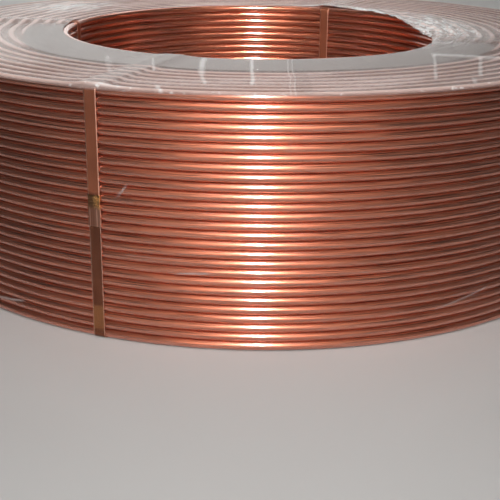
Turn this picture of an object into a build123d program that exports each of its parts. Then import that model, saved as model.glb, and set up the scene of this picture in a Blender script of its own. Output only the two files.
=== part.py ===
"""Level-wound coil of copper tube, standing on its end.

The tube is wound in nested layers: every other layer has one turn fewer and
sits in the hollows of its neighbours, so its ends lie half a tube below
theirs. Flat straps go round the coil's section, each closed by a crimped
seal, and a thin clear film covers the wall and the top.

Millimetres. Z is the coil's axis and points up, and the origin is at the
centre of the base, where the straps' undersides lie.
"""

import os
from math import cos, radians, sin, sqrt

from build123d import *

# Winding
tube_diameter = 12.0
bore_diameter = 610.0
layer_count = 23
turns_in_full_layer = 27

# Straps, each named by the direction it lies in, counterclockwise from +X
strap_width = 16.0
strap_thickness = 0.6
strap_clearance = 0.3
strap_directions = (248.5, 340.0, 65.7, 171.0)

# Crimped seals on the straps
seal_length = 40.0
seal_thickness = 0.8
seal_clearance = 0.15
seal_middle_below_top = 154.0
crimp_width = 3.0
crimp_depth = 0.9
crimp_spacing = 18.0

# Clear film
film_thickness = 0.4
film_clearance = 0.9
film_lap_stops_short_of_bore = 9.0
film_hangs_above_floor = 6.0

# Sizes that follow from the winding
tube_radius = tube_diameter / 2
layer_pitch = tube_diameter * sqrt(3) / 2
bore_radius = bore_diameter / 2
coil_height = turns_in_full_layer * tube_diameter
coil_radius = bore_radius + tube_diameter + (layer_count - 1) * layer_pitch
coil_bottom = strap_thickness + strap_clearance
coil_top = coil_bottom + coil_height


def layer_radius(layer):
    """Radius of the tube's centre line in a layer, counted from the bore."""
    return bore_radius + tube_radius + layer * layer_pitch


def end_dip(layer):
    """How far a layer's last turn lies below the coil's end."""
    return tube_radius if layer % 2 else 0.0


def strap_plane(direction, radius=0.0, height=0.0):
    """Upright plane through the axis, with its X outwards and its Y up."""
    outwards = (cos(radians(direction)), sin(radians(direction)), 0)
    along = (sin(radians(direction)), -cos(radians(direction)), 0)
    corner = (radius * outwards[0], radius * outwards[1], height)
    return Plane(origin=corner, x_dir=outwards, z_dir=along)


def level_plane(direction, radius, height):
    """Level plane at a point of the wall, with its X outwards."""
    upright = strap_plane(direction, radius, height)
    return Plane(origin=upright.origin, x_dir=upright.x_dir, z_dir=(0, 0, 1))


def front_plane(direction, radius, height):
    """Upright plane that faces away from the axis, with its Y up."""
    upright = strap_plane(direction, radius, height)
    return Plane(origin=upright.origin, x_dir=-upright.z_dir, z_dir=upright.x_dir)


os.makedirs("parts", exist_ok=True)

# Tube coil: one turned solid, whose ends step in and out with its layers
top_of_layers = [
    (layer_radius(layer), coil_top - end_dip(layer)) for layer in range(layer_count)
]
bottom_of_layers = [
    (layer_radius(layer), coil_bottom + end_dip(layer)) for layer in range(layer_count)
]
outer_wall = [
    (coil_radius, coil_top - tube_radius),
    (coil_radius, coil_bottom + tube_radius),
]
bore_wall = [
    (bore_radius, coil_bottom + tube_radius),
    (bore_radius, coil_top - tube_radius),
]
with BuildPart() as tube_coil:
    with BuildSketch(Plane.XZ) as winding_section:
        with BuildLine() as winding_outline:
            Polyline(
                *top_of_layers,
                *outer_wall,
                *reversed(bottom_of_layers),
                *bore_wall,
                close=True,
            )
        make_face()
    revolve(axis=Axis.Z)
tube_coil.part.label = "tube_coil"
export_step(tube_coil.part, "parts/tube_coil.step")

# Straps: closed loops round the coil's section, bent to the rim turns
loop_width = coil_radius - bore_radius + 2 * strap_clearance
loop_height = coil_height + 2 * strap_clearance
loop_bend = tube_radius + strap_clearance
loop_middle = ((coil_radius + bore_radius) / 2, (coil_bottom + coil_top) / 2)
for number, direction in enumerate(strap_directions, start=1):
    with BuildPart() as strap:
        with BuildSketch(strap_plane(direction)) as strap_outline:
            with Locations(loop_middle):
                RectangleRounded(
                    loop_width + 2 * strap_thickness,
                    loop_height + 2 * strap_thickness,
                    loop_bend + strap_thickness,
                )
                RectangleRounded(loop_width, loop_height, loop_bend, mode=Mode.SUBTRACT)
        extrude(amount=strap_width / 2, both=True)
    strap.part.label = f"strap_{number}"
    export_step(strap.part, f"parts/strap_{number}.step")

# Seals: channels pressed over the straps' edges, nicked by two crimps a side
strap_face_radius = coil_radius + strap_clearance + strap_thickness
seal_inside_width = strap_width + 2 * seal_clearance
seal_outside_width = seal_inside_width + 2 * seal_thickness
seal_front = seal_clearance + seal_thickness
seal_middle = coil_top - seal_middle_below_top
seal_bottom = seal_middle - seal_length / 2
seal_face_radius = strap_face_radius + seal_front
for number, direction in enumerate(strap_directions, start=1):
    lower_end = level_plane(direction, strap_face_radius, seal_bottom)
    front = front_plane(direction, seal_face_radius, seal_middle)
    with BuildPart() as strap_seal:
        with BuildSketch(lower_end) as channel:
            with Locations((-strap_thickness, 0)):
                Rectangle(
                    strap_thickness + seal_front,
                    seal_outside_width,
                    align=(Align.MIN, Align.CENTER),
                )
                Rectangle(
                    strap_thickness + seal_clearance,
                    seal_inside_width,
                    align=(Align.MIN, Align.CENTER),
                    mode=Mode.SUBTRACT,
                )
        extrude(amount=seal_length)
        with BuildSketch(front) as crimps:
            with GridLocations(seal_outside_width, crimp_spacing, 2, 2):
                Rectangle(2 * crimp_depth, crimp_width)
        extrude(amount=-(seal_front + strap_thickness), mode=Mode.SUBTRACT)
    strap_seal.part.label = f"strap_seal_{number}"
    export_step(strap_seal.part, f"parts/strap_seal_{number}.step")

# Film: a skin round the wall that laps over the top as far as the bore's edge
film_inside_radius = seal_face_radius + film_clearance
film_underside = coil_top + strap_clearance + strap_thickness + film_clearance
film_shoulder = (loop_bend + strap_thickness) / 2
film_edge_radius = bore_radius + film_lap_stops_short_of_bore
film_inside = [
    (film_inside_radius, film_hangs_above_floor),
    (film_inside_radius, film_underside - film_shoulder),
    (film_inside_radius - film_shoulder, film_underside),
    (film_edge_radius, film_underside),
]
with BuildPart() as stretch_film:
    with BuildSketch(Plane.XZ) as film_section:
        with BuildLine() as film_line:
            Polyline(*film_inside)
            offset(amount=film_thickness, side=Side.RIGHT, kind=Kind.INTERSECTION)
        make_face()
    revolve(axis=Axis.Z)
stretch_film.part.label = "stretch_film"
export_step(stretch_film.part, "parts/stretch_film.step")
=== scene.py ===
"""Copper tube coil: the looks, made round the packed model.

Laid out as a Blender add-on and run as a script. Metres, Z along the coil's
axis and up. Every new piece is a section line carried round the axis or along
a path, worked out as whole arrays.
"""

import math

import bpy
import numpy as np
from bpy.props import FloatProperty, FloatVectorProperty, IntProperty, PointerProperty
from mathutils import Matrix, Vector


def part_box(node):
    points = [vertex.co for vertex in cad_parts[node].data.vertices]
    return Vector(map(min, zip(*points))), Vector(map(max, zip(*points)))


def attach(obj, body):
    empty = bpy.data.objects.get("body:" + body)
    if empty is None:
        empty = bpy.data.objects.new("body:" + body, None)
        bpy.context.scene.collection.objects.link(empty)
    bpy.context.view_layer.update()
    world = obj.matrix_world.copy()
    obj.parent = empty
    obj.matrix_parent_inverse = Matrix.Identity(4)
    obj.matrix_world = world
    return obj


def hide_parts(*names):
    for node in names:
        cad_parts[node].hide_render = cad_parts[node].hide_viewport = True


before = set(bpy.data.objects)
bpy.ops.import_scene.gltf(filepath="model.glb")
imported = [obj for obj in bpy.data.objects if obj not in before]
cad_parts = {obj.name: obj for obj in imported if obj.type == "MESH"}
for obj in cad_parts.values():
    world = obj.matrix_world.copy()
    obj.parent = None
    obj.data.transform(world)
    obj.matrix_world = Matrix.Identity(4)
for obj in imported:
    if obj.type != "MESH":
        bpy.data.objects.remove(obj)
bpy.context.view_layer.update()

bl_info = {
    "name": "Copper tube coil",
    "version": (1, 0, 0),
    "blender": (4, 5, 0),
    "location": "View3D > Sidebar > Copper coil",
    "description": "Winds a level-wound coil of copper tube with its straps and clear film",
    "category": "Object",
}

COIL_LOW, COIL_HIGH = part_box("tube_coil")
FILM_LOW, FILM_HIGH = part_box("stretch_film")
STRAPS = (1, 2, 3, 4)


# Sizes and colours that a user would change


def maker(kind, **settings):
    """A function that makes properties from a name, a description and a default."""
    def make(name, description, default):
        return kind(name=name, description=description, default=default, **settings)

    return make


length = maker(FloatProperty, precision=5, unit="LENGTH", subtype="DISTANCE")
share = maker(FloatProperty, min=0.0, max=1.0, subtype="FACTOR")
colour = maker(FloatVectorProperty, size=3, min=0.0, max=1.0, subtype="COLOR")
count = maker(IntProperty, min=3)
power = maker(FloatProperty)


class CoilWinding(bpy.types.PropertyGroup):
    """How the tube is wound."""

    turns: count("Turns", "Turns in a full layer", 27)
    layers: count("Layers", "Layers from bore to wall", 23)
    sway: length("Sway", "How far a turn strays from its place", 0.00018)
    wall_rows: count("Wall rows", "Rows of faces round the wall", 336)
    bore_rows: count("Bore rows", "Rows of faces round the bore", 224)
    end_rows: count("End rows", "Rows of faces round each end", 320)


class CopperFinish(bpy.types.PropertyGroup):
    """The colour and gloss of the drawn tube."""

    fresh: colour("Fresh", "Clean drawn copper", (0.64, 0.2, 0.104))
    warm: colour("Warm", "Copper that handling has turned browner", (0.52, 0.145, 0.07))
    stain: colour("Stain", "Dark stains where damp has stood", (0.27, 0.1, 0.055))
    roughness: share("Roughness", "Roughness of the drawn surface", 0.38)


class StrapFinish(bpy.types.PropertyGroup):
    """The flat straps and their crimped seals."""

    width: length("Width", "Width of a strap", 0.016)
    thickness: length("Thickness", "Thickness of a strap", 0.0006)
    clearance: length("Clearance", "Gap between the turns' crests and a strap", 0.0003)
    seal_length: length("Seal length", "Length of a crimped seal", 0.04)
    tan: colour("Tan", "Face of a strap", (0.48, 0.165, 0.088))
    # Foot: colour of a painted warm reflection near the foot of a strap
    foot: colour("Foot", "Yellower patch near the foot of a strap", (0.55, 0.26, 0.1))
    # Edge: a painted highlight along the rolled edges of a strap
    edge: colour("Edge", "Rolled edges of a strap, rubbed bright", (0.86, 0.5, 0.37))
    pressed: colour("Pressed", "Seals, where they are pressed flat", (0.36, 0.15, 0.095))
    # Brass and gap: a painted golden glint on the right of a seal's crushed half, and painted
    # shade on its left
    brass: colour("Brass", "Seals, where the crimping has bared yellow metal", (0.95, 0.5, 0.17))
    gap: colour("Gap", "Seals, where the crimping has left a dark hollow", (0.22, 0.105, 0.05))


class FilmFinish(bpy.types.PropertyGroup):
    """The clear film round the wall and over the top."""

    # Milk: the taut film's colour, partly its own cloudiness and partly a painted reflection
    milk: colour("Milk", "Film where it lies taut and cloudy", (0.25, 0.185, 0.165))
    loose: colour("Loose", "Film where it follows the turns", (0.72, 0.52, 0.465))
    # Crease: colour of the painted highlights on creases, folds, glints and rim
    crease: colour("Crease", "Colour of the film where it is creased", (0.86, 0.85, 0.84))
    lap_radius: length("Taut band", "Radius within which the lap lies taut and cloudy", 0.404)
    narrowing: length("Narrowing", "How much narrower the taut band is at the sides", 0.038)
    flat_width: length("Sheet width", "Width of the film off its roll", 0.555)
    clearance: length("Clearance", "Gap between the turns' crests and the film", 0.0003)
    skin: length("Skin", "Thickness that the film is drawn with", 0.00012)
    sag: length("Sag", "How far the film hangs between the full layers", 0.0024)
    crumple: length("Crumple", "Height of the crumpled folds beside the bore", 0.004)
    overhang: length("Overhang", "How far the crumpled film hangs over the bore's edge", 0.052)
    rows: count("Rows", "Rows of faces round the film", 470)


class Studio(bpy.types.PropertyGroup):
    """Floor, backdrop, and the power of the lamps."""

    floor: colour("Floor", "Colour of the floor and backdrop", (0.54, 0.531, 0.518))
    world: share("World", "Strength of the even light from all round", 0.03)
    key: power("Key", "Tall lamp in front", 10.5)
    front: power("Front", "Lamp on the backdrop in front", 40.0)
    tail: power("Tail", "Low lamps behind", 1.4)
    fore: power("Fore", "Lamp above the floor in front", 1.0)
    side: power("Side", "Lamps at the sides", 0.2)
    rear: power("Rear", "Lamp on the backdrop behind", 185.0)
    far: power("Far", "Lamps above the far and the near floor", 14.0)
    back: power("Back", "Wide lamp behind the coil", 6.0)
    bore: power("Bore", "Lamp that shines into the bore", 0.6)


GROUPS = {
    "coil_winding": CoilWinding,
    "copper_finish": CopperFinish,
    "strap_finish": StrapFinish,
    "film_finish": FilmFinish,
    "coil_studio": Studio,
}


# Sizes that follow from the packed model and the winding


class Measures:
    """Sizes of the winding, read from the packed model's box."""

    def __init__(self, winding):
        self.tube = (COIL_HIGH.z - COIL_LOW.z) / winding.turns
        self.half = self.tube / 2
        self.pitch = self.tube * math.sqrt(3) / 2
        self.top_row = COIL_HIGH.z - self.half
        self.bottom_row = COIL_LOW.z + self.half
        self.wall_line = COIL_HIGH.x - self.half
        self.bore_line = self.wall_line - (winding.layers - 1) * self.pitch


# Curves


def bell(distance, width):
    """1 at no distance, falling as a bell curve of that width."""
    return np.exp(-((distance / width) ** 2))


def turned(angle, degrees):
    """Angle from a direction, in radians, between -pi and pi."""
    return (angle - math.radians(degrees) + math.pi) % (2 * math.pi) - math.pi


def step(value, low, high):
    """0 below low, 1 above high, and a smooth step between."""
    t = np.clip((value - low) / (high - low), 0, 1)
    return t * t * (3 - 2 * t)


def on_circle(x, z, radius, angle):
    """Points of a section at angles on a circle."""
    return np.column_stack([x + radius * np.cos(angle), z + radius * np.sin(angle)])


# Meshes from grids


def outward(points, quads):
    """Turns the faces over where they enclose a negative volume.

    The volume is a sixth of the sum of each face's corner dotted with the
    cross product of its diagonals.
    """
    corners = points[quads]
    across = np.cross(corners[:, 2] - corners[:, 0], corners[:, 3] - corners[:, 1])
    inside_out = np.einsum("ij,ij->", corners[:, 0], across) < 0
    return quads[:, ::-1] if inside_out else quads


def ring_faces(rows, columns):
    """Faces of a grid that closes on itself both ways, like a tyre."""
    row, column = np.arange(rows)[:, None], np.arange(columns)[None, :]
    next_row, next_column = (row + 1) % rows, (column + 1) % columns
    corners = ((row, column), (next_row, column), (next_row, next_column), (row, next_column))
    return np.stack([r * columns + c for r, c in corners], axis=-1).reshape(-1, 4)


def strip_faces(rows, columns):
    """Faces of a grid whose columns close, with a row of quads across each end.

    An end is filled by joining each column to its mirror image in the section.
    """
    sides = ring_faces(rows, columns)[:-columns]
    k = np.arange(columns // 2 - 1)
    cap = np.stack([k, k + 1, columns - 2 - k, columns - 1 - k], axis=-1)
    return np.concatenate([sides, cap, cap[:, ::-1] + (rows - 1) * columns])


def make_piece(name, grid, material, slot, node, closed=True, sharp=(), **values):
    """A piece that rides with the coil and stands for a CAD node.

    The grid holds its points, rows by columns by 3. It is smooth except along
    the sharp columns, and carries the named values at its points.
    """
    rows, columns = grid.shape[:2]
    points = grid.reshape(-1, 3)
    faces = ring_faces(rows, columns) if closed else strip_faces(rows, columns)
    faces = outward(points, faces).astype(np.int32)
    mesh = bpy.data.meshes.new(name)
    mesh.vertices.add(len(points))
    mesh.vertices.foreach_set("co", points.astype(np.float32).ravel())
    mesh.loops.add(faces.size)
    mesh.loops.foreach_set("vertex_index", faces.ravel())
    mesh.polygons.add(len(faces))
    mesh.polygons.foreach_set("loop_start", np.arange(len(faces), dtype=np.int32) * 4)
    mesh.polygons.foreach_set("use_smooth", np.ones(len(faces), bool))
    mesh.update(calc_edges=True)
    for key, value in values.items():
        whole = np.broadcast_to(value, (rows, columns)).astype(np.float32)
        mesh.attributes.new(key, "FLOAT", "POINT").data.foreach_set("value", whole.ravel())
    marks = np.zeros((rows, columns), bool)
    marks[:, list(sharp)] = True
    ends = np.empty(len(mesh.edges) * 2, np.int32)
    mesh.edges.foreach_get("vertices", ends)
    both = marks.ravel()[ends].reshape(-1, 2).all(axis=1)
    mesh.attributes.new("sharp_edge", "BOOLEAN", "EDGE").data.foreach_set("value", both)
    mesh.validate()
    mesh.materials.append(material)
    piece = bpy.data.objects.new(name, mesh)
    bpy.context.scene.collection.objects.link(piece)
    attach(piece, "root")
    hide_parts(node)
    return piece


# The winding


# Waves in a turn's sway, the power by which the shorter ones shrink, and how
# far it goes upwards, as a share of outwards
SWAY_WAVES, SWAY_FALL, SWAY_UPWARDS = (2, 3, 5, 7, 11, 16), 0.6, 0.35

# Steps on the arc of a turn and of a rim turn
WALL_STEPS, BORE_STEPS = (10, 16), (8, 14)

# How many degrees more a rim turn shows, to where it touches the next layer
RIM_EXTRA = 120

# First and last angle and steps of an end turn that stands high or lies low
HIGH_END, LOW_END = (-30, 210, 11), (30, 150, 5)

SEEDS = {
    "coil_wall_turns": 11, "coil_bore_turns": 23, "coil_top_turns": 37, "coil_base_turns": 53,
}


def turns_section(arcs, radius, backing):
    """Section line through a run of nested turns.

    Each arc is (centre's distance from the axis, height, first angle, last
    angle, steps), in degrees, and ends where the next one starts, at the
    point where the two turns touch. The hidden backing closes the section.
    Returns the line's points, the share of each turn in each point's sway,
    half each where two turns touch, and the sharp columns: those points and
    the backing's.
    """
    points, shares, sharp, so_far = [], [], [], 0
    for turn, (reach, height, first, last, steps) in enumerate(arcs):
        angle = np.radians(np.linspace(first, last, steps, endpoint=False))
        points.append(on_circle(reach, height, radius, angle))
        share_of = np.zeros((steps, len(arcs)))
        share_of[:, turn] = 1.0
        if turn:
            share_of[0, turn - 1 : turn + 1] = 0.5
        shares.append(share_of)
        sharp.append(so_far)
        so_far += steps
    reach, height, _, last, _ = arcs[-1]
    end = on_circle(reach, height, radius, math.radians(last))
    points.append(np.array([*end, *backing]))
    closing = np.zeros((1 + len(backing), len(arcs)))
    closing[0, -1] = 1.0
    sharp.extend(range(so_far, so_far + len(closing)))
    return np.concatenate(points), np.concatenate(shares + [closing]), sharp


def sway_of_turns(turns, around, reach, seed):
    """How far each turn strays outwards and upwards, turn by angle by two.

    A sum of waves round the axis, each of random phase and of a height that
    falls with its number of waves.
    """
    random = np.random.default_rng(seed)
    waves = np.array(SWAY_WAVES)
    phase = random.uniform(0, 2 * math.pi, (turns, len(waves), 2))
    height = random.uniform(0.4, 1.0, (turns, len(waves), 2)) / waves[None, :, None] ** SWAY_FALL
    angle = waves[:, None, None] * around[:, None]
    summed = (height[:, :, None, :] * np.cos(angle + phase[:, :, None, :])).sum(axis=1)
    return reach * summed / np.abs(summed).max() * [1, SWAY_UPWARDS]


def wind_ring(name, arcs, backing, rows, context):
    """One closed ring solid whose section is a run of nested turns.

    The section line is carried round the axis, and each point strays from the
    true circle by its turns' sway.
    """
    winding, seed = context.scene.coil_winding, SEEDS[name]
    section, shares, sharp = turns_section(arcs, Measures(winding).half, backing)
    around = np.linspace(0, 2 * math.pi, rows, endpoint=False)
    sway = sway_of_turns(len(arcs), around, winding.sway, seed)
    moved = section[None] + np.einsum("ct,trk->rck", shares, sway)
    direction = np.stack([np.cos(around), np.sin(around)], axis=-1)
    grid = np.concatenate([moved[..., :1] * direction[:, None], moved[..., 1:]], axis=-1)
    steps = np.linalg.norm(np.diff(section, axis=0), axis=1)
    along = np.concatenate([[0.0], np.cumsum(steps)])
    tint = shares @ np.random.default_rng(seed + 1).uniform(0, 1, len(arcs))
    make_piece(
        name, grid, copper_material(context.scene.copper_finish), "copper_tube", "tube_coil",
        sharp=sharp, across=along[None], tint=tint[None],
    )


def wind_side(name, side, steps, rows, context):
    """Winds a full layer, from the top down: the wall's, side 1, or the bore's, -1.

    A turn shows the half that faces that way, and a rim turn shows more.
    """
    winding = context.scene.coil_winding
    m = Measures(winding)
    line = m.wall_line if side > 0 else m.bore_line
    heights = m.top_row - m.tube * np.arange(winding.turns)
    last = 90 - 180 * side
    arcs = [(line, z, 90, last, steps[0]) for z in heights]
    arcs[0] = (line, heights[0], 90 + RIM_EXTRA * side, last, steps[1])
    arcs[-1] = (line, heights[-1], 90, last - RIM_EXTRA * side, steps[1])
    wind_ring(name, arcs, [], rows, context)
    return {"FINISHED"}


class COIL_OT_wind_wall(bpy.types.Operator):
    """Wind the outermost layer: the turns on the wall, with both rims"""

    bl_idname = "coil.wind_wall"
    bl_label = "Wind the wall"

    def execute(self, context):
        rows = context.scene.coil_winding.wall_rows
        return wind_side("coil_wall_turns", 1, WALL_STEPS, rows, context)


class COIL_OT_wind_bore(bpy.types.Operator):
    """Wind the innermost layer: the turns on the bore, with both rims"""

    bl_idname = "coil.wind_bore"
    bl_label = "Wind the bore"

    def execute(self, context):
        rows = context.scene.coil_winding.bore_rows
        return wind_side("coil_bore_turns", -1, BORE_STEPS, rows, context)


class COIL_OT_wind_ends(bpy.types.Operator):
    """Wind the layers' end turns, high and low by turns, on the top and the base"""

    bl_idname = "coil.wind_ends"
    bl_label = "Wind the ends"

    def execute(self, context):
        winding = context.scene.coil_winding
        m = Measures(winding)
        for name, row, up in (
            ("coil_top_turns", m.top_row, 1), ("coil_base_turns", m.bottom_row, -1),
        ):
            arcs = []
            for layer in range(winding.layers - 2, 0, -1):
                low = layer % 2
                first, last, steps = LOW_END if low else HIGH_END
                reach, height = m.bore_line + layer * m.pitch, row - up * low * m.half
                arcs.append((reach, height, up * first, up * last, steps))
            floor = row - up * m.tube
            backing = [(m.bore_line + m.pitch / 2, floor), (m.wall_line - m.pitch / 2, floor)]
            wind_ring(name, arcs, backing, winding.end_rows, context)
        return {"FINISHED"}


# Straps and seals


# Steps round a strap's bend, greatest spacing of its rows, points across a
# face, and the height of its rolled edges as a share of its thickness
BEND_STEPS, ROW_SPACING, FACE_POINTS, BEAD = 9, 0.012, 13, 0.35

# The lap above a seal: how far it reaches in over the top, how far its end goes
# under the seal, its gap to the strap, its end's taper, and how fast that fades
LAP_REACH, LAP_TUCK, LAP_GAP, LAP_TAPER, TAPER_FALL = 0.045, 0.0005, 0.00003, 0.12, 1.5

# A seal's thickness, gap to the strap and rows, and its crimps: their places
# along it, and their width and depth as shares of its own
SEAL_WALL, SEAL_GAP, SEAL_ROWS, SEAL_SEED = 0.0008, 0.00015, 49, 70
CRIMPS, CRIMP_WIDTH, CRIMP_DEPTH = (0.275, 0.725), 0.045, 0.085

# Its crushed half: where it starts, over what share of the length, its pinch,
# and its dents' waves along and across, and their heights
CRUSH_START, CRUSH_RUN, CRUSH_PINCH = 0.52, 0.16, 0.05
DENT_WAVES = ((2.3, 0.8), (4.1, -1.3), (6.7, 2.1), (9.2, -0.6))
DENT_HEIGHT, BULGE_HEIGHT = 0.00016, 0.00035


def strap_path(reach_in, reach_out, low, high, bend):
    """Closed path of a strap round the coil's section, a rounded rectangle.

    Returns the points as distance and height, at most ROW_SPACING apart, and
    the way that each faces. The path starts in the middle of the wall and
    goes up, over the top, down the bore and back under the base.
    """
    corners = (
        (reach_out - bend, high - bend, 0),
        (reach_in + bend, high - bend, 90),
        (reach_in + bend, low + bend, 180),
        (reach_out - bend, low + bend, 270),
    )
    points, facing = [np.array([[reach_out, (low + high) / 2]])], [np.zeros(1)]
    for x, z, first in corners:
        angle = np.radians(np.linspace(first, first + 90, BEND_STEPS))
        points.append(on_circle(x, z, bend, angle))
        facing.append(angle)
    path, angle = np.concatenate(points), np.concatenate(facing)
    along = np.concatenate([[0.0], np.cumsum(np.linalg.norm(np.diff(path, axis=0), axis=1))])
    ends = np.append(along, along[-1] + (high - low) / 2 - bend)
    s = np.concatenate([
        np.linspace(a, b, max(2, int(math.ceil((b - a) / ROW_SPACING)) + 1))[:-1]
        for a, b in zip(ends, ends[1:])
    ])
    x = np.interp(s, ends, np.append(path[:, 0], path[0, 0]))
    z = np.interp(s, ends, np.append(path[:, 1], path[0, 1]))
    return np.column_stack([x, z]), np.interp(s, ends, np.append(angle, 2 * math.pi))


def strap_section(finish):
    """Flat section with round edges that stand a bead proud of its face.

    The thickness falls at the edges by the square root of one less the 24th
    power of how far out a point lies, and the bead rises by its eighth power.
    Returns points as (sideways, out).
    """
    side = np.concatenate([np.linspace(-1, 1, FACE_POINTS), np.linspace(1, -1, FACE_POINTS)])
    over = np.repeat([1.0, -1.0], FACE_POINTS)
    edge = np.sqrt(np.clip(1 - np.abs(side) ** 24, 0, 1))
    bead = finish.thickness * BEAD * np.abs(side) ** 8 * (over > 0)
    out = over * finish.thickness / 2 * (0.35 + 0.65 * edge) + bead
    return np.column_stack([side * finish.width / 2, out])


def carry(section, path, facing, direction, offset=0.0):
    """Carries a section along a path that lies in the upright plane of a direction.

    A point lies at the path's point, plus its own height the way the path
    faces, plus its own sideways distance across the plane.
    """
    outwards = np.array([math.cos(direction), math.sin(direction), 0.0])
    sideways = np.array([-math.sin(direction), math.cos(direction), 0.0])
    height = section[..., 1] + offset
    reach = path[:, None, 0] + height * np.cos(facing)[:, None]
    level = path[:, None, 1] + height * np.sin(facing)[:, None]
    return (
        reach[..., None] * outwards
        + level[..., None] * np.array([0, 0, 1])
        + section[..., :1] * sideways
    )


def seal_place(number):
    """Direction of a strap, and the middle height of its seal."""
    low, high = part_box(f"strap_seal_{number}")
    middle = (low + high) / 2
    return math.atan2(middle.y, middle.x), middle.z


def pressed_seal(finish, seed):
    """Section of a seal at each step of its length, steps by points by 2.

    A channel whose sides fold over the strap's edges. Its width shrinks by a
    bell curve at each crimp, and a sum of waves dents the upper half, where
    the pressing has crumpled it. Also returns each step's height from the
    middle and how crushed it is.
    """
    wall, gap = SEAL_WALL, SEAL_GAP
    half = finish.width / 2 + gap
    back = -finish.thickness
    round_in = np.linspace(0, math.pi / 2, 5)
    right = on_circle(half, gap, wall, round_in)
    across = np.linspace(half, -half, FACE_POINTS)[1:-1]
    flat = np.column_stack([across, np.full(len(across), gap + wall)])
    left = right[::-1] * [-1, 1]
    outer = np.concatenate([[[half + wall, back]], right, flat, left, [[-half - wall, back]]])
    inner = np.column_stack([
        np.clip(outer[:, 0], -half, half), np.where(outer[:, 1] > 0, gap, back),
    ])
    section = np.concatenate([outer, inner[::-1]])
    t = np.linspace(0, 1, SEAL_ROWS)
    crimp = sum(bell(t - place, CRIMP_WIDTH) for place in CRIMPS)
    random = np.random.default_rng(seed)
    sideways = section[None, :, 0] / finish.width
    dents = sum(
        np.sin(2 * math.pi * (n * t[:, None] + k * sideways) + random.uniform(0, 6))
        for n, k in DENT_WAVES
    )
    upper = np.clip((t - CRUSH_START) / CRUSH_RUN, 0, 1)[:, None]
    shape = np.broadcast_to(section, (len(t), *section.shape)).copy()
    shape[..., 0] *= 1 - CRIMP_DEPTH * crimp[:, None] - upper * CRUSH_PINCH
    out = section[None, :, 1] > 0
    shape[..., 1] += out * (
        DENT_HEIGHT * dents * upper + BULGE_HEIGHT * upper * np.abs(dents) / 3
    )
    return shape, (t - 0.5) * finish.seal_length, upper


class COIL_OT_strap(bpy.types.Operator):
    """Pass the flat straps round the coil's section and press their seals"""

    bl_idname = "coil.strap"
    bl_label = "Strap the coil"

    def execute(self, context):
        finish = context.scene.strap_finish
        m = Measures(context.scene.coil_winding)
        middle = finish.clearance + finish.thickness / 2
        low, high = COIL_LOW.z - middle, COIL_HIGH.z + middle
        bend = m.half + middle
        reach_in, reach_out = m.bore_line - m.half - middle, COIL_HIGH.x + middle
        path, facing = strap_path(reach_in, reach_out, low, high, bend)
        flat = strap_section(finish)
        metal, pressed = strap_material(finish), seal_material(finish)
        for number in STRAPS:
            direction, seal_middle = seal_place(number)
            make_piece(
                f"strap_band_{number}", carry(flat, path, facing, direction),
                metal, "copper_strap", f"strap_{number}",
                side=flat[None, :, 0], height=path[:, None, 1],
            )

            lap_end = seal_middle + finish.seal_length / 2 - LAP_TUCK
            above = (path[:, 0] > reach_out - LAP_REACH) & (path[:, 1] > lap_end)
            lap_path = np.concatenate([[[reach_out, lap_end]], path[above]])
            lap_facing = np.concatenate([[0.0], facing[above]])
            narrow = 1 - LAP_TAPER * np.exp(-np.arange(len(lap_path)) * TAPER_FALL)
            shape = flat[None] * np.stack([narrow, np.ones_like(narrow)], -1)[:, None]
            make_piece(
                f"strap_lap_{number}",
                carry(shape, lap_path, lap_facing, direction, finish.thickness + LAP_GAP),
                metal, "copper_strap", f"strap_{number}",
                closed=False, side=flat[None, :, 0], height=lap_path[:, None, 1],
            )

            shape, rise, upper = pressed_seal(finish, SEAL_SEED + number)
            reach = COIL_HIGH.x + finish.clearance + finish.thickness
            line = np.column_stack([np.full(len(rise), reach), seal_middle + rise])
            make_piece(
                f"seal_{number}", carry(shape, line, np.zeros(len(rise)), direction),
                pressed, "seal_metal", f"strap_seal_{number}",
                closed=False, side=shape[..., 0], crushed=upper,
            )
        return {"FINISHED"}


# Film


# How far short of the bore the film's edge stops, where it hangs over, in
# degrees, how wide that is, in radians, and by what share it drops
EDGE_SHORT, OVERHANG_AT, OVERHANG_WIDTH, HANG = 0.009, 4, 0.56, 0.12

# Columns up the wall, round the rim, from layer to layer, and in the taut band
WALL_COLUMNS, RIM_COLUMNS, LAYER_COLUMNS, BAND_COLUMNS = 12, 8, 3, 44

# How far beside itself a strap holds the film up, how high, over what distance
# that fades, and where the film sags again
HELD, HELD_UP, HELD_FADE, SLACK = 0.012, 0.0026, 0.014, 0.03

# Where the film is taut and where its taut band is wide: the middle in degrees,
# the cosines where that starts and is full, and how the band's edge fades
TAUT_FRONT, WIDE_FRONT, BAND_FADE = (258, 0.08, 0.3), (270, 0.1, 0.8), (-0.003, 0.01)

# Crumpled places: direction in degrees, spread, radius, spread, least distance
# past the radius that counts, strength; and the folds' lengths and weights
CRUMPLES = (
    (8, 0.62, 0.325, 0.04, 0.0, 1.0),
    (56, 0.3, 0.325, 0.022, 0.0, 0.8),
    (143, 0.2, 0.44, 0.07, -1.0, 0.9),
)
CRUMPLE_WAVES, CRUMPLE_SEED = ((0.03, 0.6), (0.016, 0.4)), 5

# The long fold: a point of it, the way across it, its width, the x where it
# starts, and the radius where it ends
FOLD_AT, FOLD_ACROSS, FOLD_WIDTH = (0.245, -0.261), (0.224, 0.975), 0.012
FOLD_START, FOLD_END = (0.236, 0.25), (0.46, 0.5)


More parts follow.
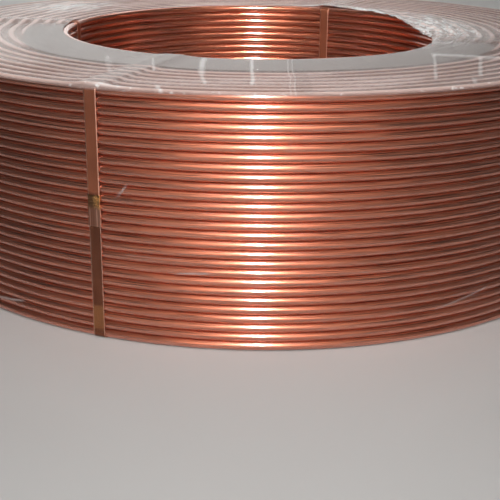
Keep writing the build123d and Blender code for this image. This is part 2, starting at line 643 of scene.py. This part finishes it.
def uneven_rows(count):
    """Angles round the axis, closest together in front and next close at the right."""
    fine = np.linspace(0, 2 * math.pi, 7201)
    in_front = 3.2 * bell(turned(fine, 271), 0.62) ** 0.5
    at_right = 1.1 * bell(turned(fine, 10), 0.9)
    density = 1 + in_front + at_right
    running = np.concatenate([[0.0], np.cumsum((density[1:] + density[:-1]) / 2)])
    return np.interp(np.linspace(0, running[-1], count, endpoint=False), running, fine)


def towards(theta, middle, start, full):
    """1 where theta is near a direction in degrees, 0 away from it, by its cosine."""
    return step(np.cos(theta - math.radians(middle)), start, full)


def crinkles(along, out):
    """Sharp-crested folds, between 0 and 1, longer along the rim than across it.

    One less the size of a sum of waves in random directions, to a power, twice
    over, the second finer.
    """
    random = np.random.default_rng(CRUMPLE_SEED)
    stretch, depth, sharpness = 0.42, 2.2, 1.4
    folds = 0.0
    for wave, weight in CRUMPLE_WAVES:
        waves = 0.0
        for _ in range(6):
            turn = random.uniform(-0.9, 0.9)
            k = 2 * math.pi / (wave * random.uniform(0.7, 1.4))
            across = out * math.cos(turn) + along * stretch * math.sin(turn)
            waves = waves + np.sin(k * across + random.uniform(0, 6.3))
        folds = folds + weight * (1 - np.clip(np.abs(waves) / depth, 0, 1)) ** sharpness
    return folds


def film_columns(finish, m, theta):
    """The film before it sags: each point's radius and each column's height.

    It goes up the wall at the film's clearance from the crests, round the rim
    turn, over the layers, and evenly on to its edge by the bore, which hangs
    over at the right by a bell curve.
    """
    off = finish.clearance
    over = finish.overhang * bell(turned(theta, OVERHANG_AT), OVERHANG_WIDTH)
    edge = m.bore_line - m.half + EDGE_SHORT - over
    bend = np.radians(np.linspace(0, 90, RIM_COLUMNS)[1:])
    rim = on_circle(m.wall_line, m.top_row, m.half + off, bend)
    rings = np.arange(m.wall_line, finish.lap_radius, -m.pitch / LAYER_COLUMNS)[1:]
    inwards = np.linspace(0, 1, BAND_COLUMNS)
    upright = np.linspace(FILM_LOW.z, m.top_row, WALL_COLUMNS)
    reach = np.concatenate([
        np.full(len(upright), m.wall_line + m.half + off), rim[:, 0], rings,
    ])
    r = np.concatenate([
        np.broadcast_to(reach, (len(theta), len(reach))),
        finish.lap_radius + (edge - finish.lap_radius) * inwards,
    ], axis=1)
    level = np.concatenate([
        upright, rim[:, 1], np.full(len(rings) + len(inwards), m.top_row + m.half + off),
    ])
    return r, level


def film_skin(finish, m):
    """The film's two skins, rows by columns by 3, and what its points carry.

    Over the top it hangs between the crests of the full layers by a raised
    cosine of the radius, except over the straps and in the taut band beside
    the bore, which is narrower at the sides. Folds crumple it by bell curves
    of direction and radius, and one long fold lies at the right.
    """
    theta = uneven_rows(finish.rows)[:, None]
    r, level = film_columns(finish, m, theta)
    x, y = r * np.cos(theta), r * np.sin(theta)
    top = np.clip((level - m.top_row) / m.half, 0, 1)[None, :]
    flat_top = top > 0.99

    lift, over = 0.0, 0.0
    for number in STRAPS:
        across = np.abs(turned(theta, math.degrees(seal_place(number)[0]))) * r
        lift = lift + HELD_UP * np.exp(-np.clip(across - HELD, 0, None) / HELD_FADE)
        over = np.maximum(over, 1 - step(across, HELD, SLACK))

    lap = finish.lap_radius - finish.narrowing * (1 - towards(theta, *WIDE_FRONT))
    band = 1 - step(r, lap + BAND_FADE[0], lap + BAND_FADE[1])
    taut = towards(theta, *TAUT_FRONT) * band
    sag = (1 - np.cos(math.pi * (m.wall_line - r) / m.pitch)) / 2
    uneven = 1 + 0.25 * np.sin(3 * theta + 1.0) + 0.2 * np.sin(7 * theta + r * 60)
    drop = finish.sag * sag * (1 - taut) * (1 - over) * uneven * (r < m.wall_line)

    crumpled = 0.0
    for direction, spread, radius, depth, least, strength in CRUMPLES:
        past = bell(np.clip(r - radius, least, None), depth)
        crumpled = crumpled + strength * (bell(turned(theta, direction), spread) * past)
    crumpled = np.clip(crumpled, 0, 1) * flat_top
    away = (x - FOLD_AT[0]) * FOLD_ACROSS[0] + (y - FOLD_AT[1]) * FOLD_ACROSS[1]
    fold = bell(away, FOLD_WIDTH) * step(x, *FOLD_START)
    fold = fold * (1 - step(r, *FOLD_END)) * flat_top
    waves = crinkles(theta * r, r)
    ridge = finish.crumple * (crumpled * waves + fold * (0.25 + 0.2 * waves))

    def skin(reach, height):
        return np.stack([reach * np.cos(theta), reach * np.sin(theta), height], axis=-1)

    outwards = r + lift * (1 - top)
    hang = HANG * np.clip(m.bore_line - m.half - r, 0, None)
    height = level + lift * top - drop * (1 - np.maximum(crumpled, fold)) + ridge - hang
    outer = skin(outwards, height)
    inner = skin(outwards - finish.skin * (1 - top), height - finish.skin * top)
    carried = {"crumpled": crumpled, "taut": taut * flat_top, "fold": fold}
    return (
        np.concatenate([outer, inner[:, ::-1]], axis=1),
        {key: np.concatenate([v, v[:, ::-1]], axis=1) for key, v in carried.items()},
    )


class COIL_OT_wrap(bpy.types.Operator):
    """Wrap the wall in clear film and lap it over the top"""

    bl_idname = "coil.wrap"
    bl_label = "Wrap the coil"

    def execute(self, context):
        finish = context.scene.film_finish
        measures = Measures(context.scene.coil_winding)
        grid, carried = film_skin(finish, measures)
        material = film_material(finish, measures)
        piece = make_piece("film_wrap", grid, material, "clear_film", "stretch_film", **carried)
        return {"FINISHED"}


# Shader maths


def math_method(kind, swapped=False):
    """A method that adds a Math node of a kind."""
    def method(self, other):
        return self.graph.maths(kind, *((other, self) if swapped else (self, other)))

    return method


class Wire:
    """A shader socket that takes part in sums. Each operator adds a Math node."""

    def __init__(self, graph, socket):
        self.graph, self.socket = graph, socket

    __add__ = __radd__ = math_method("ADD")
    __mul__ = __rmul__ = math_method("MULTIPLY")
    __sub__, __rsub__ = math_method("SUBTRACT"), math_method("SUBTRACT", swapped=True)
    __truediv__, __pow__ = math_method("DIVIDE"), math_method("POWER")


class Graph:
    """A material's nodes."""

    def __init__(self, name):
        self.material = bpy.data.materials.new(name)
        self.material.use_nodes = True
        self.tree = self.material.node_tree
        self.tree.nodes.clear()

    def node(self, kind, inputs=None, output=0, **settings):
        """Adds a node: its settings first, then the values or links of its sockets."""
        made = self.tree.nodes.new(kind)
        for key, value in settings.items():
            setattr(made, key, value)
        for key, value in (inputs or {}).items():
            if isinstance(value, Wire):
                self.tree.links.new(value.socket, made.inputs[key])
            else:
                made.inputs[key].default_value = value
        return Wire(self, made.outputs[output]) if made.outputs else None

    def maths(self, operation, *values):
        return self.node("ShaderNodeMath", dict(enumerate(values)), operation=operation)

    def position(self):
        """The object's own coordinates, and their three parts."""
        whole = self.node("ShaderNodeTexCoord", output="Object")
        split = self.node("ShaderNodeSeparateXYZ", {0: whole})
        return whole, [Wire(self, part) for part in split.socket.node.outputs]

    def vector(self, x, y, z):
        return self.node("ShaderNodeCombineXYZ", {0: x, 1: y, 2: z})

    def drawn_out(self, x, y, reach, turning, across):
        """Coordinates that change slowly round the axis and fast across the tubes."""
        return self.vector(x / reach * turning, y / reach * turning, across)

    def value_of(self, name):
        """The piece's own attribute of that name."""
        return self.node("ShaderNodeAttribute", output="Fac", attribute_name=name)

    def noise(self, vector, scale=1.0, detail=2.0, roughness=0.5):
        inputs = {"Vector": vector, "Scale": scale, "Detail": detail, "Roughness": roughness}
        return self.node("ShaderNodeTexNoise", inputs)

    def between(self, value, low, high):
        """0 below low, 1 above high, and a smooth step between."""
        inputs = {"Value": value, "From Min": low, "From Max": high}
        return self.node("ShaderNodeMapRange", inputs, interpolation_type="SMOOTHSTEP")

    def band(self, value, start, full, fade, end):
        """0 up to start and from end on, 1 from full to fade."""
        return self.between(value, start, full) * (1.0 - self.between(value, fade, end))

    def mixed(self, factor, first, second):
        """A colour between two colours."""
        inputs = {0: factor, 6: rgba(first), 7: rgba(second)}
        return self.node("ShaderNodeMix", inputs, output=2, data_type="RGBA")

    def scaled(self, tint, factor):
        """A colour times a value."""
        grey = self.node("ShaderNodeCombineColor", {0: factor, 1: factor, 2: factor})
        inputs = {0: 1.0, 6: rgba(tint), 7: grey}
        return self.node("ShaderNodeMix", inputs, 2, data_type="RGBA", blend_type="MULTIPLY")

    def bump(self, height, strength, distance):
        inputs = {"Height": height, "Strength": strength, "Distance": distance}
        return self.node("ShaderNodeBump", inputs)

    def surface(self, **inputs):
        """Ends the graph in a Principled surface, sockets named with _ for a space."""
        named = {key.replace("_", " "): value for key, value in inputs.items()}
        shader = self.node("ShaderNodeBsdfPrincipled", named)
        self.node("ShaderNodeOutputMaterial", {"Surface": shader})
        return self.material


def rgba(tint):
    return tint if isinstance(tint, Wire) else (*tint, 1.0)


# Materials


# How many of the tube's drawn lines and bands come to a metre across it
LINES, BANDS = 1500.0, 260.0

# Heights where a strap's painted dark reflection below the seal gives way to bright,
# and of its painted yellower reflection near the foot
BRIGHT_FROM, PAINTED_FOOT_REFLECTION = (0.15, 0.16), (0.01, 0.016, 0.042, 0.048)

# Film: how far below the top its lap sets in, the radii of the rim's painted highlight, the x
# of the rim's painted glints and of a darker strip, and how far left a painted sheen makes the
# film paler
LAP_DEPTHS, RIM_RADII = (0.008, 0.003), (0.537, 0.5405)
GLITTER, DARKER_STRIP = (-0.23, -0.2, -0.165, -0.14), (0.04, 0.043, 0.06, 0.063)
PALE_LEFT = (0.2, 0.38)

# Creases in the lap, painted white as highlights, the last one a painted glint at the rim:
# the x and y of both ends, width and strength
CREASES = (
    ((-0.1846, -0.4219), (-0.2057, -0.3001), 0.005, 0.3),
    ((-0.1343, -0.4116), (-0.1413, -0.3206), 0.0022, 0.5),
    ((-0.0746, -0.4221), (-0.0753, -0.295), 0.0052, 0.85),
    ((-0.0657, -0.4821), (-0.075, -0.4221), 0.0034, 0.6),
    ((-0.0083, -0.4852), (-0.0111, -0.295), 0.003, 0.75),
    ((0.035, -0.545), (0.039, -0.3), 0.0012, 0.4),
    ((0.0405, -0.545), (0.045, -0.3), 0.0012, 0.4),
    ((0.2163, -0.439), (0.2454, -0.2613), 0.003, 0.6),
    ((0.2768, -0.4147), (0.3051, -0.2828), 0.0034, 0.75),
    ((0.2608, -0.4695), (0.2664, -0.4292), 0.0036, 0.6),
    ((-0.113, -0.538), (-0.123, -0.5), 0.0034, 0.85),
    ((-0.162, -0.516), (-0.19, -0.5065), 0.012, 1.0),
)

# Painted glints on the wall's front: the height and x of both ends, width and strength
GLINTS = (
    ((0.197, -0.167), (0.207, -0.159), 0.003, 0.5),
    ((0.1005, -0.096), (0.1035, -0.06), 0.0016, 0.6),
    ((0.118, -0.16), (0.119, -0.09), 0.001, 0.3),
    ((0.019, -0.35), (0.027, -0.308), 0.0022, 0.6),
    ((0.04, 0.23), (0.056, 0.3), 0.0018, 0.4),
)


def copper_material(finish):
    """Drawn copper: fine lines along the tube, warm patches and a few stains."""
    made = bpy.data.materials.get("drawn_copper")
    if made:
        return made
    g = Graph("drawn_copper")
    place, (x, y, _) = g.position()
    reach = (x * x + y * y) ** 0.5
    across, tint = g.value_of("across"), g.value_of("tint")
    lines = g.noise(g.drawn_out(x, y, reach, 5.0, across * LINES), detail=3.0, roughness=0.6)
    bands = g.noise(g.drawn_out(x, y, reach, 2.2, across * BANDS))
    cloud = g.noise(place, 7.0, detail=4.0, roughness=0.55)
    warm = g.between(cloud + tint * 0.24, 0.48, 0.8)
    spots = g.between(g.noise(place, 42.0, detail=5.0, roughness=0.65), 0.62, 0.78)
    stain = spots * g.between(bands, 0.45, 0.7)
    body = g.mixed(warm * 0.75, finish.fresh, finish.warm)
    body = g.mixed(stain * 0.55, body, finish.stain)
    body = g.scaled(body, lines * 0.16 + 0.92)
    drawn = g.between(lines, 0.42, 0.58) - 0.5
    rough = finish.roughness + drawn * 0.28 + stain * 0.22 + (bands - 0.5) * 0.08
    relief = lines * 0.6 + bands * 0.4
    return g.surface(
        Base_Color=body, Metallic=1.0, Roughness=rough, Anisotropic=0.15,
        Anisotropic_Rotation=0.25, Coat_Weight=1.0, Coat_Roughness=0.14, Coat_IOR=2.15,
        Normal=g.bump(relief, 0.35, 0.00004),
    )


def strap_material(finish):
    """Flat copper strap: tan face with drawn lines, edges paler by a painted highlight, a
    painted yellower reflection at the foot and a painted darker one below the seal.
    """
    g = Graph("strap_copper")
    place, _ = g.position()
    side, height = g.value_of("side"), g.value_of("height")
    far = g.maths("ABSOLUTE", side)
    # The rolled edges, painted paler as a highlight and a little glossier
    edge = g.between(far, finish.width * 0.41, finish.width * 0.47)
    lines = g.noise(g.vector(side * 2600.0, height * 9.0, 0.0), detail=3.0, roughness=0.6)
    cloud = g.noise(place, 26.0, detail=4.0, roughness=0.6)
    # Below the seal the strap is painted darker, standing for a dark reflection, and is glossier
    bright = g.between(height, *BRIGHT_FROM)
    face = g.scaled(finish.tan, (lines * 0.3 + cloud * 0.5 + 0.6) * (0.52 + bright * 0.48))
    # A painted warm reflection near the strap's foot
    body = g.mixed(g.band(height, *PAINTED_FOOT_REFLECTION) * 0.5, face, finish.foot)
    body = g.mixed(edge * 0.8, body, finish.edge)
    rough = 0.2 + bright * 0.3 - edge * 0.08 + (lines - 0.5) * 0.15
    return g.surface(
        Base_Color=body, Metallic=1.0, Roughness=rough, Normal=g.bump(lines, 0.3, 0.00005),
    )


def seal_material(finish):
    """Seal: copper below, its right half a little paler by painted light, and where it is
    crushed painted shade on the left beside a painted golden glint on the right.
    """
    g = Graph("seal_brass")
    place, _ = g.position()
    crushed, side = g.value_of("crushed"), g.value_of("side")
    right = g.between(side, -0.002, 0.003)
    cloud = g.noise(place, 190.0, detail=4.0, roughness=0.6)
    folds = g.noise(g.vector(side * 420.0, 0.0, 0.0))
    pale = g.between(folds, 0.52, 0.6) * (1.0 - crushed)
    # The right half is painted a little paler, as painted light
    plain = g.mixed(pale * 0.7 + right * 0.2, finish.pressed, finish.edge)
    # Crushed half: painted shade on the left, a painted golden glint on the right
    bared = g.mixed(right * g.between(cloud, 0.35, 0.6), finish.gap, finish.brass)
    return g.surface(
        Base_Color=g.mixed(crushed, plain, bared), Metallic=1.0, Roughness=0.26 + cloud * 0.2,
        Normal=g.bump(cloud, 0.5, 0.0004),
    )


def crease(g, x, y, near, far, width):
    """1 on a line between two points, 0 away from it.

    The distance from the line is x less the line's own x at that y, and the
    line fades past its ends.
    """
    (near_x, near_y), (far_x, far_y) = near, far
    slope = (far_x - near_x) / (far_y - near_y)
    away = g.maths("ABSOLUTE", x - (y * slope + (near_x - near_y * slope)))
    ends = g.band(y, near_y - 0.01, near_y + 0.006, far_y - 0.004, far_y + 0.004)
    return (1.0 - g.between(away, width * 0.15, width * 1.3)) * ends


def film_material(finish, measures):
    """Clear film: cloudy where it lies taut by the bore, partly a painted reflection, and white
    with painted highlights where it is creased, crumpled or folded, along the rim and in glints.
    """
    g = Graph("clear_film_skin")
    place, (x, y, z) = g.position()
    reach = (x * x + y * y) ** 0.5
    crumpled, taut, fold = (g.value_of(name) for name in ("crumpled", "taut", "fold"))
    lap = g.between(z, *(FILM_HIGH.z - depth for depth in LAP_DEPTHS))
    front = g.between(-1.0 * y, 0.0, 0.05)
    cloud = g.noise(place, 14.0, detail=3.0, roughness=0.6)
    streaks = g.noise(g.vector(x * 30.0, y * 30.0, z * 9.0), detail=3.0, roughness=0.7)
    # Painted sheen in faint streaks on the film
    glint = g.between(streaks, 0.66, 0.74)
    # A painted highlight along the rim, with painted glints, more of them near the front strap
    rim = lap * g.between(reach, *RIM_RADII)
    left = g.band(x, *GLITTER) * front
    glitter = g.noise(place, 110.0, roughness=0.6) + left * 0.07
    painted_rim_glints = rim * g.between(glitter, 0.58, 0.76)
    layers = (measures.wall_line - reach) * (math.pi / measures.pitch)
    # Painted highlights on the crests over the full layers, and painted shade between them
    crests = g.between(g.maths("COSINE", layers), -0.3, 0.9) * (1.0 - taut) * lap
    run = g.noise(g.drawn_out(x, y, reach, 9.0, reach * 150.0), detail=3.0, roughness=0.65)
    # Painted highlights on the crumpled folds and on the long fold
    folds = crumpled * g.between(run, 0.46, 0.6)
    bent = x + (g.noise(place, 13.0) - 0.5) * 0.008
    # White lines: painted highlights along the creases, and painted glints
    lines = None
    for near, far, width, strength in CREASES:
        line = crease(g, bent, y, near, far, width) * strength
        lines = line if lines is None else g.maths("MAXIMUM", lines, line)
    lines = lines * lap
    wavy = z + (cloud - 0.5) * 0.006
    for near, far, width, strength in GLINTS:
        line = crease(g, wavy, x, near, far, width) * front * strength
        lines = g.maths("MAXIMUM", lines, line)
    lines = lines * (0.35 + cloud * 0.9)
    # A darker strip of film
    darker_strip = g.band(x, *DARKER_STRIP) * front * lap
    # A painted sheen makes the film paler towards the left
    pale = g.between(-1.0 * x, *PALE_LEFT) * lap * (1.0 - taut)

    alpha = 0.003 + cloud * 0.006 + glint * 0.05 + lap * (0.42 + cloud * 0.14)
    alpha = alpha + crests * 0.18 + taut * 0.22 + rim * 0.06 + painted_rim_glints * 0.4 + lines * 0.5
    alpha = alpha + crumpled * 0.25 + folds * 0.4 + fold * (0.15 + streaks * 0.4) + pale * 0.12
    painted_highlights = lines * 0.7 + painted_rim_glints * 0.8 + folds * 0.8 + crumpled * 0.3
    painted_highlights = painted_highlights + fold * (0.2 + streaks * 0.6)
    loose = g.scaled(finish.loose, 0.62 + crests * 0.5 + pale * 0.3)
    # Where taut the film is milky, partly its cloudiness and partly a painted reflection
    body = g.scaled(g.mixed(taut, loose, finish.milk), 1.0 - darker_strip * 0.14)
    return g.surface(
        Base_Color=g.mixed(g.maths("MINIMUM", painted_highlights, 1.0), body, finish.crease),
        Roughness=0.18 - crumpled * 0.04,
        Alpha=g.maths("MINIMUM", alpha, 0.96), IOR=1.5,
        Normal=g.bump(cloud * 0.2 + crumpled * run * 1.2, 0.6, 0.0012),
    )


# Stage


CAMERA_PLACE = (-0.0097, -1.7232, 0.5575)
CAMERA_PITCH, CAMERA_ROLL, CAMERA_LENS = 0.3443, 0.0109, 75.08

# Radius and height of the floor's rings, backdrop included, and the points on each
FLOOR_PROFILE = (
    (1.5, 0), (3.5, 0), (5, 0), (5.6, 0.06),
    (6.05, 0.28), (6.3, 0.7), (6.4, 1.3), (6.4, 3.6),
)
FLOOR_POINTS = 96


def round_axis(azimuth, reach, height):
    """The point at a direction in degrees, a distance from the axis and a height."""
    turn = math.radians(azimuth)
    return math.cos(turn) * reach, math.sin(turn) * reach, height


# Name, place, aim, width and height, the studio value for its power, and spread
LAMPS = (
    ("key_lamp", (0.02, -2.35, 1.3), (0, -COIL_HIGH.x, 0.16), (0.1, 2), "key", 70),
    *(
        (
            f"tail_lamp_{number}", round_axis(azimuth, 2.4, 0.22),
            round_axis(azimuth, COIL_HIGH.x, 0.17), (0.1, 0.22), "tail", 40,
        )
        for number, azimuth in enumerate((40, 90.5, 140), 1)
    ),
    ("front_lamp", (0, -3.8, 2.6), (0, -6.2, 1.3), (3, 0.5), "front", 150),
    ("fore_lamp", (0, -1.1, 2.2), (0, -1.1, 0), (1, 0.5), "fore", 60),
    ("left_lamp", (-2.4, -1.2, 1.8), (0, 0, 0.16), (1, 1), "side", 180),
    ("bore_lamp", (0.08, -1, 1.5), (0, 0.3, 0.2), (0.1, 0.3), "bore", 30),
    ("rear_lamp", (-1.3, 3.4, 2.6), (-1.8, 6.2, 1.3), (5.2, 0.5), "rear", 150),
    ("far_lamp", (0, 3, 2.2), (0, 3, 0), (6, 1), "far", 90),
    ("near_lamp", (0, -3.4, 2.2), (0, -3.4, 0), (6, 1), "far", 90),
    ("back_lamp", (0, 1.9, 2.2), (0, 0.6, 0.1), (2.4, 0.6), "back", 120),
    ("right_lamp", (2.4, -0.6, 1.4), (0, 0, 0.16), (0.8, 1), "side", 180),
)


def studio_material(studio):
    """Plain matt floor and backdrop, barely uneven."""
    g = Graph("studio_grey")
    place, _ = g.position()
    body = g.scaled(studio.floor, g.noise(place, 3.0) * 0.02 + 0.99)
    return g.surface(Base_Color=body, Roughness=0.9)


def add_floor(studio):
    """A round floor, one face in the middle, whose rim curves up into the backdrop."""
    reach, level = np.array(FLOOR_PROFILE).T
    around = np.linspace(0, 2 * math.pi, FLOOR_POINTS, endpoint=False)
    x, y = np.outer(np.cos(around), reach), np.outer(np.sin(around), reach)
    points = np.stack([x, y, np.broadcast_to(level, x.shape)], -1)
    rows, columns = x.shape
    quads = ring_faces(rows, columns).reshape(rows, columns, 4)[:, :-1].reshape(-1, 4)[:, ::-1]
    mesh = bpy.data.meshes.new("studio_floor")
    mesh.from_pydata(
        points.reshape(-1, 3).tolist(), [],
        quads.tolist() + [(np.arange(rows) * columns).tolist()],
    )
    mesh.polygons.foreach_set("use_smooth", [True] * len(mesh.polygons))
    mesh.materials.append(studio_material(studio))
    floor = bpy.data.objects.new("studio_floor", mesh)
    bpy.context.scene.collection.objects.link(floor)


def add_lamp(name, place, aim, size, energy, spread):
    """A flat lamp at a place, turned to face its aim."""
    light = bpy.data.lights.new(name, "AREA")
    light.shape = "RECTANGLE"
    light.size, light.size_y = size
    light.energy = energy
    light.spread = math.radians(spread)
    lamp = bpy.data.objects.new(name, light)
    away = np.array(place) - np.array(aim)
    z = away / np.linalg.norm(away)
    x = np.cross([0.0, 0.0, 1.0], z)
    x = x / np.linalg.norm(x)
    turn = Matrix(np.column_stack([x, np.cross(z, x), z]))
    lamp.matrix_world = Matrix.LocRotScale(place, turn.to_quaternion(), None)
    lamp.visible_camera = False
    bpy.context.scene.collection.objects.link(lamp)


def add_camera(scene):
    """The photo's view."""
    camera = bpy.data.objects.new("camera", bpy.data.cameras.new("camera"))
    camera.data.lens = CAMERA_LENS
    camera.data.clip_start = 0.05
    pitch = Matrix.Rotation(math.pi / 2 - CAMERA_PITCH, 4, "X")
    roll = Matrix.Rotation(CAMERA_ROLL, 4, "Z")
    camera.matrix_world = Matrix.Translation(CAMERA_PLACE) @ (pitch @ roll)
    scene.collection.objects.link(camera)
    scene.camera = camera


class COIL_OT_stage(bpy.types.Operator):
    """Set the floor, the backdrop, the lamps and the camera"""

    bl_idname = "coil.stage"
    bl_label = "Set the stage"

    def execute(self, context):
        studio = context.scene.coil_studio
        add_floor(studio)
        for name, place, aim, size, key, spread in LAMPS:
            add_lamp(name, place, aim, size, getattr(studio, key), spread)

        world = bpy.data.worlds.new("studio_world")
        context.scene.world = world
        world.use_nodes = True
        back = world.node_tree.nodes["Background"]
        back.inputs["Color"].default_value = (1, 1, 1, 1)
        back.inputs["Strength"].default_value = studio.world

        add_camera(context.scene)
        context.scene.view_settings.view_transform = "Standard"
        return {"FINISHED"}


class COIL_PT_sidebar(bpy.types.Panel):
    """The coil's operators and sizes"""

    bl_idname = "COIL_PT_sidebar"
    bl_label = "Copper coil"
    bl_space_type = "VIEW_3D"
    bl_region_type = "UI"
    bl_category = "Copper coil"

    def draw(self, context):
        for operator in OPERATORS:
            self.layout.operator(operator.bl_idname)
        for name, group in GROUPS.items():
            box = self.layout.box()
            box.label(text=group.__doc__)
            for key in group.__annotations__:
                box.prop(getattr(context.scene, name), key)


OPERATORS = (
    COIL_OT_wind_wall, COIL_OT_wind_bore, COIL_OT_wind_ends, COIL_OT_strap, COIL_OT_wrap,
    COIL_OT_stage,
)


def register():
    for made in (*GROUPS.values(), *OPERATORS, COIL_PT_sidebar):
        bpy.utils.register_class(made)
    for name, group in GROUPS.items():
        setattr(bpy.types.Scene, name, PointerProperty(type=group))


def unregister():
    for name in GROUPS:
        delattr(bpy.types.Scene, name)
    for made in (COIL_PT_sidebar, *reversed(OPERATORS), *GROUPS.values()):
        bpy.utils.unregister_class(made)


def main():
    register()
    bpy.ops.coil.wind_wall()
    bpy.ops.coil.wind_bore()
    bpy.ops.coil.wind_ends()
    bpy.ops.coil.strap()
    bpy.ops.coil.wrap()
    bpy.ops.coil.stage()


if __name__ == "__main__":
    main()
